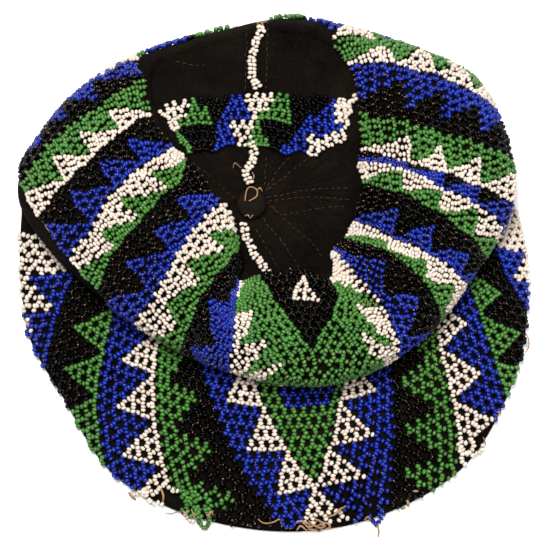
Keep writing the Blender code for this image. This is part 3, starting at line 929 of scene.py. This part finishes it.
def on_lower(angle, radius):
    """Points on the lower tier at angles and radii, and whether its cloth reaches so far."""
    seat, hem, billow = lower_limits(angle)
    points = round_cap(angle, radius, lower_height(radius, seat, hem, billow))
    short = np.exp(-((angle - shortfall_angle) / shortfall_half_angle) ** 2)
    past = hem_overhang - front_shortfall * short
    return points, (radius > seat) & (radius < hem + past) & (hem > seat + seat_clearance)


def lower_colour(across, row):
    """Colour of the lower netting's stitches."""
    number = lower_net.number(across, row)
    colours = tier_colours(number, row, across, lower_left_colours, lower_right_colours)
    # At the far left the last teeth are plain towards the hem
    colours = np.where((across < 0) & (number >= 25) & (row >= 8), blue, colours)
    colours = np.where((across < 0) & (number >= 19) & (number < 25) & (row >= 12), green, colours)
    # The front's middle is green with a blue patch
    patch = (row >= 2) & (row < 4) & (np.abs(across) < 2.9 - 0.5 * (row - 2))
    return np.where(number < 0, np.where(patch, blue, green), colours)


def keep_lower(across, row, point):
    """All beads outside the bare spots."""
    x = turning_pixel[0] + point[:, 0] / photo_pixel
    y = turning_pixel[1] - point[:, 1] / photo_pixel
    colour = lower_colour(across, np.floor(row))
    kept = np.ones(len(across), dtype=bool)
    for middle_x, middle_y, half_width, half_height, colours in bare_rows:
        near = ((x - middle_x) / half_width) ** 2 + ((y - middle_y) / half_height) ** 2 < 1
        kept &= ~(near & np.isin(colour, colours))
    return kept


lower_net = Netting(tier_guides(lower_middle, lower_left, lower_right), lower_halves, lower_rows,
                    lower_span, lower_uneven, on_lower)
lower_beads = netted_beads(lower_net, lower_colour, keep_lower, lower_widest, 12)
left_part = lower_beads[4] < 0
for name, chosen in (("lower_net_left", left_part), ("lower_net_right", ~left_part)):
    bead_piece(name, [part[chosen] for part in lower_beads], "lower_net_beads", 22, ["net_lower"],
               lower_bead_size)

# Netting thread
# The netting is strung on beige cotton thread. It shows between the beads as small knots, above and
# below every stitch.
knot_width = 0.00050
knot_flatness = 0.8
knot_range = (0.6, 1.2)          # of the knot's width
knot_lift = 0.0004               # over the middles of the beads
knot_places = (-0.02, 0.62)      # of a row, over and under a stitch
knot_profile = ((-1, 0), (0, 1), (1, 0))
knot_sides = 4


def thread_of(name, roughness, shine, cloud, dark, light, grain, depth):
    """Matt thread: clouded between two colours by one noise, and bumped by a finer one."""
    finish = Finish(name, Roughness=roughness, Specular_IOR_Level=shine)
    finish.feed(Base_Color=finish.blend(finish.noise(*cloud), dark, light))
    finish.raise_by(finish.noise(*grain), depth)
    return finish


thread_finish = thread_of("beige_cotton_thread", 0.85, 0.2, (120.0, 2.0), (0.13, 0.060, 0.024),
                          (0.34, 0.205, 0.115), (1500.0, 2.0), 0.00015)
for name, net, keep, slot in (("upper_net_thread", upper_net, keep_upper, "upper_net_beads"),
                              ("lower_net_thread", lower_net, keep_lower, "lower_net_beads")):
    across, row = net.stitches()
    parts = []
    for place in knot_places:
        here, normal, real = net.point(across, row + place)
        ahead = net.point(across, row + place + 0.1)[0] - here
        chosen = real & keep(across, row + place, here)
        parts.append((here[chosen] + normal[chosen] * (bead_lift + knot_lift), unit(ahead[chosen]),
                      normal[chosen]))
    middle, along, normal = joined(parts)
    size = np.random.default_rng(5).uniform(*knot_range, len(middle)) * knot_width
    knots = shells(middle, along, normal, knot_profile, knot_sides, size * knot_flatness, size)
    cap_piece(name, slot, [], *knots, [thread_finish])

# Loose band
# A strip of the same netting, six rows deep, lies loose over the crown from one side of the roll to
# the other.
band_rows = (                # back angle, back share, front angle, front share
    (149.5, 1.00, 160, 0.94),
    (138, 0.74, 158, 0.84),
    (128, 0.67, 153, 0.59),
    (114, 0.65, 136, 0.33),
    (98, 0.61, 119, 0.30),
    (81, 0.60, 98, 0.21),
    (64, 0.75, 55, 0.32),
    (54, 0.92, 41, 0.79),
)
band_gap = 0.0005
band_turn = 0.00032          # by which a bead's ends stray
band_wander = 0.0002
band_deep = 6                # stitches
band_wide = 26
band_bead_rows = ((0, 0.02, 0.30), (0, 0.30, 0.58), (-1, 0.64, 0.98), (1, 0.64, 0.98))   # side, start, end
band_stripes = (             # colour, start, lean of each row, drop of each tooth, rows of a tooth
    (white, 3.9, -1.10, 3.4, 3),
    (green, 5.2, 0.75, 4.2, 3),
    (black, 8.7, -0.35, 1.05, 3),
    (blue, 10.6, 0.55, 1.7, 3),
    (white, 14.7, -0.75, 2.2, 3),
    (green, 16.9, 0.60, 3.3, 3),
    (black, 21.9, -0.85, 2.55, 3),
    (blue, 23.0, 0.60, 2.3, 4),
)


def upright(count):
    """As many vectors that point straight up."""
    return np.broadcast_to([0.0, 0.0, 1.0], (count, 3))


def crown_place(angle, share):
    """Place on the crown in plan, from an angle and a share of the way to its edge."""
    return np.stack(in_plane(angle, crown_edge(angle) * share), axis=-1)


def with_height(flat, height):
    """Flat places or ways with a height as their third number."""
    return np.concatenate([flat, np.broadcast_to(height, flat.shape[:-1])[..., None]], axis=-1)


def over_crown(flat, lift):
    """Points a lift over the crown, at places in plan."""
    angle, radius = turn_and_reach(flat)
    return with_height(flat, crown_surface(angle, radius / crown_edge(angle)) + lift)


def band_point(across, down):
    """Point of the band at shares of its length and of its depth: straight between its two edges."""
    table = np.array(band_rows, dtype=float).T
    stations = np.linspace(0, 1, table.shape[1])
    back_angle, back_share, front_angle, front_share = (np.interp(across, stations, row) for row in table)
    back = crown_place(back_angle, back_share)
    front = crown_place(front_angle, front_share)
    return over_crown(back + (front - back) * down[..., None], band_gap + bead_diameter / 2)


def band_colour(place, row):
    """Colour by place and row: each stripe ends at its start, leant by the row of its tooth, less
    its drop."""
    colour = np.full(place.shape, white)
    for kind, start, lean, drop, tooth_rows in reversed(band_stripes):
        end = start + lean * (row % tooth_rows) - drop * (row // tooth_rows)
        colour = np.where(place < end, kind, colour)
    return colour


def band_beads():
    """Every bead of the band, on the same stitches as the netting."""
    random = np.random.default_rng(31)
    row, column = (grid.ravel() for grid in np.indices((band_deep, band_wide)))
    place = column + 0.25 + 0.5 * (row % 2)
    colour = band_colour(place, row)
    parts = []
    for side, start, end in band_bead_rows:
        low, middle, high = (place + (slant_shift + lean) * side for lean in (-slant_lean, 0, slant_lean))
        inside = (middle > 0) & (middle < band_wide)
        low = band_point(low / band_wide, (row + start) / band_deep)
        high = band_point(high / band_wide, (row + end) / band_deep)
        along = unit(high - low + random.normal(0, band_turn, low.shape))
        middle = (low + high) / 2 + random.normal(0, band_wander, low.shape)
        parts.append([part[inside] for part in (middle, along, upright(len(low)), colour)])
    return joined(parts)


bead_piece("loose_band", band_beads(), "band_beads", 33, ["bead_band"])

# Strings on the seam
# White glass beads, sewn on two by two, follow the crown's seam in three stretches from the back
# edge to the front.
string_gap = 0.0004
string_pitch = 0.00175
string_half = 0.00092
string_sway = 0.0004
string_wave = 1.3            # radians a pair
string_wander = 0.00025
string_turn = 0.6            # of a bead's length, sideways
string_dip = 0.2
string_rise = 0.0004
seam_strings = {
    "seam_string_back": ((262, 26), (259, 38), (254, 49), (252, 62), (252, 74), (256, 86), (258, 91)),
    "seam_string_middle": ((251, 141), (253, 149), (255, 156), (250, 164), (246, 172), (249, 184)),
    "seam_string_front": ((243, 222), (245, 232), (249, 243), (255, 254), (262, 264), (268, 272)),
}


def smooth_route(route, count):
    """Evenly numbered places in plan on the smooth curve through a route given in pixels."""
    return smooth_through(flat_of_pixels(route).T, np.linspace(0, len(route) - 1, count)).T


def evenly_along(route, pitch):
    """Evenly spaced places in plan along a smooth route given in pixels, and the way of each."""
    fine = smooth_route(route, 300)
    way = np.concatenate([[0.0], np.cumsum(np.linalg.norm(np.diff(fine, axis=0), axis=1))])
    at = np.arange(pitch / 2, way[-1], pitch)
    place, ahead = (np.stack([np.interp(there, way, fine[:, axis]) for axis in (0, 1)], axis=-1)
                    for there in (at, at + pitch / 4))
    return place, unit(ahead - place)


def string_beads(route, seed):
    """Pairs of white beads along a route, side by side, each bead turned and shifted a little."""
    random = np.random.default_rng(seed)
    place, way = evenly_along(route, string_pitch)
    across = np.stack([-way[:, 1], way[:, 0]], axis=-1)
    sway = (string_sway * np.sin(np.arange(len(place)) * string_wave))[:, None]
    spots, ways = [], []
    for side in (-1, 1):
        spot = place + across * (side * string_half + sway) + random.normal(0, string_wander, place.shape)
        turned = way + across * random.normal(0.0, string_turn, len(place))[:, None]
        lift = string_gap + bead_width / 2 + random.uniform(0, string_rise, len(place))
        spots.append(over_crown(spot, lift))
        ways.append(with_height(turned, random.normal(0, string_dip, len(place))))
    middle = np.concatenate(spots)
    return middle, unit(np.concatenate(ways)), upright(len(middle)), np.full(len(middle), white)


for seed, (node, route) in enumerate(seam_strings.items(), start=41):
    bead_piece(node + "_beads", string_beads(route, seed), "white_beads", seed, [node])

# Button
# A wooden mould covered in the same cotton, gathered beneath it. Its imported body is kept, and only
# takes a finish.
covering = Finish("button_covering", Roughness=0.95, Specular_IOR_Level=0.03)
rub = covering.noise(260.0, 3.0)
covering.feed(Base_Color=covering.blend(rub, (0.0018, 0.0014, 0.0010), (0.0105, 0.0076, 0.0050)))
covering.raise_by(covering.noise(1400.0, 3.0) + rub, 0.0004)
for slot in bpy.data.objects["crown_button"].material_slots:
    slot.material = covering.material

# Stitches
# Beige running stitches, darkened by wear, are sewn through the crown's cloth and hold its gathers
# and seams.
stitch_length = 0.0021
stitch_range = (0.6, 1.1)    # of the length
stitch_width = 0.00014
stitch_sides = 5
stitch_pitch = 0.0029
stitch_wander = 0.00015
stitch_turn = 0.12
stitch_profile = ((-1, 0), (-0.7, 0.8), (0, 1), (0.7, 0.8), (1, 0))
stitch_routes = (
    ((246, 20), (246, 55), (245, 92)),
    ((268, 20), (267, 55), (266, 88)),
    ((236, 199), (218, 184), (194, 163)),
    ((264, 187), (266, 170), (266, 152)),
    ((267, 190), (290, 172), (312, 156)),
    ((265, 193), (276, 172), (290, 156)),
    ((266, 198), (310, 190), (352, 188)),
    ((267, 201), (310, 197), (352, 200)),
    ((282, 215), (315, 209), (345, 206)),
    ((266, 201), (274, 208), (282, 216)),
    ((262, 217), (285, 246), (300, 268)),
    ((268, 204), (290, 224), (312, 243), (322, 256)),
    ((255, 228), (268, 250), (278, 270)),
    ((175, 62), (190, 65), (205, 66)),
)

places, heads = joined(evenly_along(route, stitch_pitch) for route in stitch_routes)
random = np.random.default_rng(51)
heads = heads + random.normal(0, stitch_turn, heads.shape)
heads = unit(with_height(heads, 0.0))
places = places + random.normal(0, stitch_wander, places.shape)
lift = wrinkle_depth + crown_folds(*places.T) + stitch_width
stitches = shells(over_crown(places, lift), heads, upright(len(heads)), stitch_profile, stitch_sides,
                  np.full(len(places), stitch_width),
                  stitch_length / 2 * random.uniform(*stitch_range, len(places)))
dull_thread = thread_of("darkened_thread", 0.9, 0.1, (90.0, 3.0), (0.012, 0.006, 0.003),
                        (0.085, 0.046, 0.022), (2000.0, 1.0), 0.0001)
cap_piece("crown_stitches", "black_cotton", [], *stitches, [dull_thread])

# Loose strands
# Single strings of the same beads, on their own thread, lie loose on the hem where the netting has
# come apart, and one lies on the crown.
strand_pitch = 0.00178
strand_wander = 0.00015
strand_turn = 0.15
loose_strands = (
    (white, ((147, 487), (146, 495), (148, 501), (152, 505), (158, 504), (163, 507))),
    (white, ((147, 495), (140, 491), (136, 496), (131, 494))),
    (white, ((171, 489), (177, 492))),
    (white, ((184, 513), (187, 518), (190, 522), (196, 524))),
    (green, ((181, 486), (185, 495), (189, 503), (194, 509), (198, 514), (198, 521), (203, 529))),
    (green, ((204, 530), (208, 525), (209, 517), (205, 508), (211, 500))),
    (green, ((189, 501), (196, 493), (199, 500))),
    (white, ((471, 438), (475, 446), (473, 451), (468, 454), (463, 451), (459, 445))),
    (white, ((475, 453), (480, 454), (484, 450), (484, 444))),
    (white, ((341, 108), (346, 104), (351, 102), (356, 99), (354, 95))),
    (white, ((27, 318), (26, 326), (30, 331))),
    (blue, ((384, 514), (381, 521), (377, 525), (373, 521))),
)
button_place = (199, 0.62)           # angle, and share of the way to the crown's edge
button_diameter = 0.0135
button_height = 0.0046


def top_height(flat):
    """Height of the cap's upper face at places in plan: button, crown, roll, lower tier or floor."""
    angle, radius = turn_and_reach(flat)
    angle = angle % 360.0
    seat, hem, billow = lower_limits(angle)
    height = np.where(radius < hem, lower_height(radius, seat, hem, billow), 0.0)
    fold = upper_radius * section_values(angle)["fold"]
    height = np.where(radius < fold, on_roll(angle, along_roll(angle, radius))[0][:, 2], height)
    height = np.where(radius < crown_edge(angle), over_crown(flat, 0.0)[:, 2], height)
    off = np.linalg.norm(flat - crown_place(*button_place), axis=-1) / (button_diameter / 2)
    return height + button_height * np.sqrt(np.clip(1 - off ** 4, 0, 1))


random = np.random.default_rng(61)
parts = []
for colour, route in loose_strands:
    flat, way = evenly_along(route, strand_pitch)
    flat = flat + random.normal(0, strand_wander, flat.shape)
    height = top_height(flat) + bead_width / 2 + piece_gap
    middle = with_height(flat, height)
    along = unit(with_height(way, 0.0) + random.normal(0, strand_turn, middle.shape))
    parts.append((middle, along, upright(len(way)), np.full(len(way), colour)))
bead_piece("loose_strands", joined(parts), "lower_net_beads", 62, size=lower_bead_size)

# Frayed thread
# Beige thread ends stick out where the netting has come apart, and a loop of thread lies on the
# button.
thread_rows = (              # width, rise of its middle, pixels along its route
    (0.0007, 0.0006, ((245, 201), (246, 193), (248, 188), (252, 187), (257, 190), (257, 196),
                      (253, 199), (249, 201))),
    (0.0007, 0.0008, ((256, 191), (260, 188), (262, 191))),
    (0.0006, 0.0006, ((245, 216), (248, 215), (250, 218), (253, 215))),
    (0.0004, 0.0020, ((241, 168), (235, 163), (233, 168))),
    (0.0005, 0.0020, ((252, 172), (254, 176), (253, 180))),
    (0.0006, 0.0008, ((257, 26), (259, 22.5), (263, 25), (259, 28))),
    (0.0006, 0.0006, ((256, 23), (262, 22.5), (267, 22))),
    (0.0014, 0.0010, ((128, 494), (131, 497), (135, 501))),
    (0.0010, 0.0025, ((160, 488), (162, 493), (163, 498), (162, 504))),
    (0.0006, 0.0010, ((164, 514), (170, 515), (178, 513), (182, 515), (185, 519))),
    (0.0010, 0.0012, ((182, 511), (185, 514), (188, 510))),
    (0.0005, 0.0008, ((181, 492), (185, 496), (190, 501))),
    (0.0008, 0.0012, ((191, 510), (194, 517), (198, 512))),
    (0.0010, 0.0012, ((205, 513), (208, 517), (211, 512), (213, 517))),
    (0.0007, 0.0010, ((209, 522), (209, 527), (207, 530))),
    (0.0007, 0.0006, ((258, 520), (263, 524), (270, 524), (276, 522), (279, 520), (281, 523),
                      (282, 528))),
    (0.0010, 0.0010, ((294, 525), (300, 522), (307, 524), (312, 528))),
    (0.0009, 0.0008, ((297, 531), (301, 527), (307, 532))),
    (0.0011, 0.0008, ((309, 522), (314, 526), (321, 529), (326, 527))),
    (0.0010, 0.0012, ((311, 520), (318, 521), (323, 525), (322, 531))),
    (0.0009, 0.0006, ((308, 530), (314, 531), (321, 533))),
    (0.0008, 0.0008, ((304, 524), (308, 528), (313, 527), (317, 522))),
    (0.0007, 0.0010, ((316, 531), (319, 526), (325, 526))),
    (0.0012, 0.0008, ((325, 524), (329, 525), (330, 529), (326, 530))),
    (0.0010, 0.0034, ((328, 518), (335, 515), (340, 510), (346, 507))),
    (0.0009, 0.0014, ((365, 521), (368, 518), (371, 520))),
    (0.0010, 0.0008, ((377, 522), (379, 530), (379, 538))),
    (0.0014, 0.0010, ((408, 501), (409, 507))),
    (0.0011, 0.0008, ((414, 492), (419, 492))),
    (0.0010, 0.0010, ((402, 510), (406, 509))),
    (0.0006, 0.0014, ((484, 438), (486, 442), (487, 447))),
    (0.0012, 0.0008, ((498, 412), (502, 414))),
    (0.0006, 0.0008, ((527, 333), (530, 339), (530, 347), (527, 353))),
    (0.0005, 0.0004, ((45, 223), (48, 229), (53, 232), (56, 239))),
    (0.0010, 0.0010, ((24, 321), (27, 325), (26, 330))),
)
thread_rings = 14
thread_sides = 6


def thread_tubes():
    """Round threads that taper at both ends: rings of points square to each route, joined in quads."""
    points, faces = [], []
    turn = np.arange(thread_sides) * 2 * math.pi / thread_sides
    share = np.linspace(0.0, 1.0, thread_rings)
    quads = grid_faces(thread_rings, thread_sides)
    for width, rise, route in thread_rows:
        flat = smooth_route(route, thread_rings)
        height = top_height(flat)
        height = height + np.where(height > 0.001, bead_diameter * 0.5, 0.0)
        height = np.convolve(np.pad(height, 1, "edge"), (0.25, 0.5, 0.25), "valid") + width / 2
        middle = with_height(flat, height + rise * np.sin(math.pi * share))
        along = np.gradient(middle, axis=0)
        side = unit(np.cross(along, (0.0, 0.0, 1.0)))
        up = unit(np.cross(side, along))
        half = width / 2 * (0.35 + 0.65 * np.sin(math.pi * np.clip(share, 0.1, 0.9)) ** 0.5)
        ring = side[:, None] * np.cos(turn)[:, None] + up[:, None] * np.sin(turn)[:, None]
        faces.append(quads + len(points) * thread_rings * thread_sides)
        points.append((middle[:, None] + ring * half[:, None, None]).reshape(-1, 3))
    return np.concatenate(points), np.concatenate(faces)


cap_piece("frayed_thread", "lower_net_beads", [], *thread_tubes(), [thread_finish])
